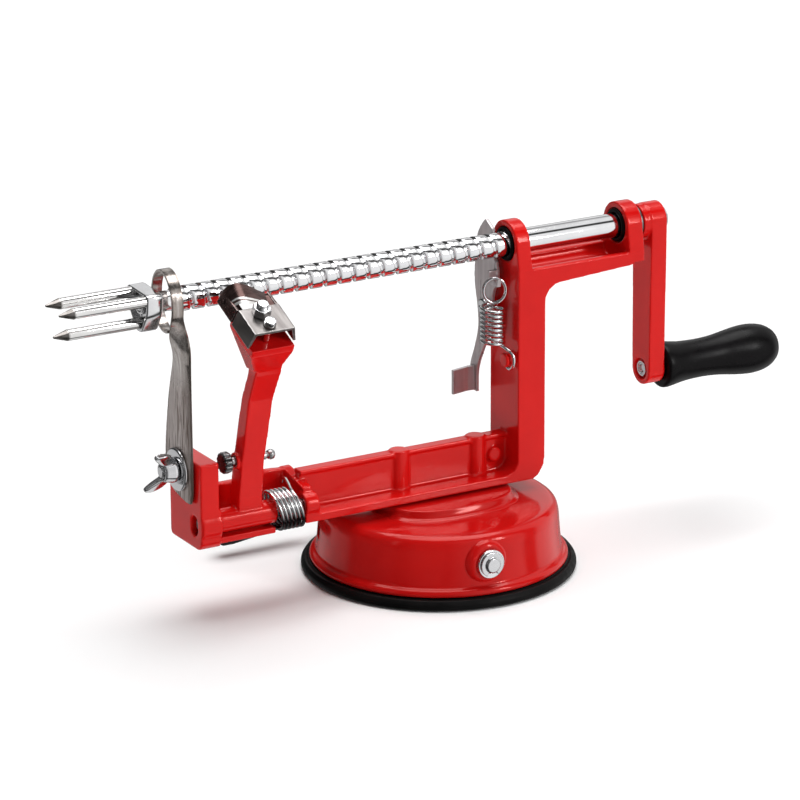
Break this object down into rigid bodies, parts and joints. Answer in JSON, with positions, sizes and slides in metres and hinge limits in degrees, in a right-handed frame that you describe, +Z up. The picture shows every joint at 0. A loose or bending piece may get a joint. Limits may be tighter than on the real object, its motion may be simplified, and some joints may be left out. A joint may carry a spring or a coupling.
{
  "type": "apple peeler corer",
  "caption": "Hand-cranked apple peeler, corer and slicer: feed screw with a pronged fork, sprung paring arm and coring knife on a cast frame with a suction base.",
  "frame": {"origin": "centre of the suction pad at the table surface", "axes": "+X along the feed screw towards the crank, +Y to the back, away from the paring arm, +Z up from the table"},
  "size_m": [0.2976, 0.1, 0.1282],
  "materials": {
    "pad_rubber": "satin",
    "shell_red_paint": "gloss",
    "frame_red_paint": "gloss",
    "base_bolt_steel_1": "zinc plated",
    "base_bolt_steel_2": "zinc plated",
    "bearing_bush_left_nylon": "moulded",
    "bearing_bush_right_nylon": "moulded",
    "washer_steel": "plated",
    "rod_steel": "turned",
    "torsion_spring_wire": "oiled spring wire",
    "buckle_screw_steel": "plated",
    "buckle_spring_wire": "bright spring wire",
    "stud_steel": "threaded",
    "knife_steel": "ground",
    "knife_washer_steel": "bright plated",
    "thrust_washer_steel": "plated",
    "screw_chrome": "polished",
    "hub_chrome": "polished",
    "prong_steel_1": "satin",
    "prong_steel_2": "satin",
    "prong_steel_3": "satin",
    "nut_steel": "plated",
    "crank_red_paint": "gloss",
    "crank_screw_steel": "plated",
    "grip_bolt_steel": "plated",
    "grip_plastic": "gloss",
    "buckle_steel": "stamped sheet",
    "arm_red_paint": "gloss",
    "holder_steel": "folded sheet",
    "blade_steel": "ground edge",
    "blade_bolt_steel": "plated",
    "depth_screw_steel": "plated",
    "latch_pin_steel": "turned",
    "latch_knob_steel": "knurled, dark",
    "lever_steel": "plated",
    "grip_vinyl": "dipped vinyl",
    "axle_steel": "turned",
    "clip_steel": "plated",
    "puller_steel": "turned",
    "wing_nut_chrome": "bright plated"
  },
  "bodies": {
    "stand": {"suction_pad": "pad_rubber", "base_shell": "shell_red_paint", "frame_casting": "frame_red_paint", "base_bolt_1": "base_bolt_steel_1", "base_bolt_2": "base_bolt_steel_2", "bearing_bush_left": "bearing_bush_left_nylon", "bearing_bush_right": "bearing_bush_right_nylon", "axle_washer": "washer_steel", "pivot_rod": "rod_steel", "torsion_spring": "torsion_spring_wire", "buckle_screw": "buckle_screw_steel", "buckle_spring": "buckle_spring_wire", "knife_stud": "stud_steel", "slicing_knife": "knife_steel", "knife_washer": "knife_washer_steel"},
    "feed_carriage": {"thrust_washer": "thrust_washer_steel"},
    "spindle": {"feed_screw": "screw_chrome", "fork_hub": "hub_chrome", "fork_prong_1": "prong_steel_1", "fork_prong_2": "prong_steel_2", "fork_prong_3": "prong_steel_3", "fork_nut": "nut_steel", "crank_arm": "crank_red_paint", "crank_screw": "crank_screw_steel", "grip_bolt": "grip_bolt_steel"},
    "grip": {"crank_grip": "grip_plastic"},
    "buckle": {"adjusting_buckle": "buckle_steel"},
    "arm": {"peel_arm": "arm_red_paint", "blade_holder": "holder_steel", "paring_blade": "blade_steel", "blade_bolt": "blade_bolt_steel", "depth_screw": "depth_screw_steel"},
    "latch": {"latch_pin": "latch_pin_steel", "latch_knob": "latch_knob_steel"},
    "lever": {"suction_lever": "lever_steel", "lever_grip": "grip_vinyl", "cam_axle": "axle_steel", "axle_clip": "clip_steel"},
    "puller": {"pad_puller": "puller_steel"},
    "wing": {"wing_nut": "wing_nut_chrome"}
  },
  "joints": [
    {"name": "shaft_feed", "type": "slide", "parent": "stand", "child": "feed_carriage", "axis": [1, 0, 0], "range_m": [0, 0.116]},
    {"name": "crank_turn", "type": "hinge", "parent": "feed_carriage", "child": "spindle", "pos_m": [0.086, 0, 0.117], "axis": [1, 0, 0], "range_deg": [0, 7200]},
    {"name": "grip_spin", "type": "hinge", "parent": "spindle", "child": "grip", "pos_m": [0.0936, 0, 0.0603], "axis": [1, 0, 0], "continuous": true},
    {"name": "buckle_release", "type": "hinge", "parent": "stand", "child": "buckle", "pos_m": [0.0248, 0.0075, 0.092], "axis": [-1, 0, 0], "range_deg": [0, 12], "stiffness_Nm_per_rad": 0.4, "springref_deg": -14.32, "deforming": ["buckle_spring"]},
    {"name": "peel_arm_swing", "type": "hinge", "parent": "stand", "child": "arm", "pos_m": [-0.0827, -0.0064, 0.0355], "axis": [1, 0, 0], "range_deg": [0, 40], "stiffness_Nm_per_rad": 0.25, "springref_deg": -20.05, "deforming": ["torsion_spring"]},
    {"name": "latch_slide", "type": "slide", "parent": "arm", "child": "latch", "axis": [-1, 0, 0], "range_m": [0, 0.002]},
    {"name": "suction_lever_turn", "type": "hinge", "parent": "stand", "child": "lever", "pos_m": [-0.005, 0, 0.0154], "axis": [0, 1, 0], "range_deg": [0, 110]},
    {"name": "puller_lift", "type": "slide", "parent": "stand", "child": "puller", "axis": [0, 0, 1], "range_m": [0, 0.0025]},
    {"name": "wing_nut_turn", "type": "hinge", "parent": "stand", "child": "wing", "pos_m": [-0.1056, 0.002, 0.0542], "axis": [-1, 0, 0], "continuous": true}
  ],
  "couplings": [
    {"joint": "shaft_feed", "follows": "crank_turn", "m_per_rad": 0.00092309},
    {"joint": "puller_lift", "follows": "suction_lever_turn", "m_per_rad": 0.001302}
  ]
}
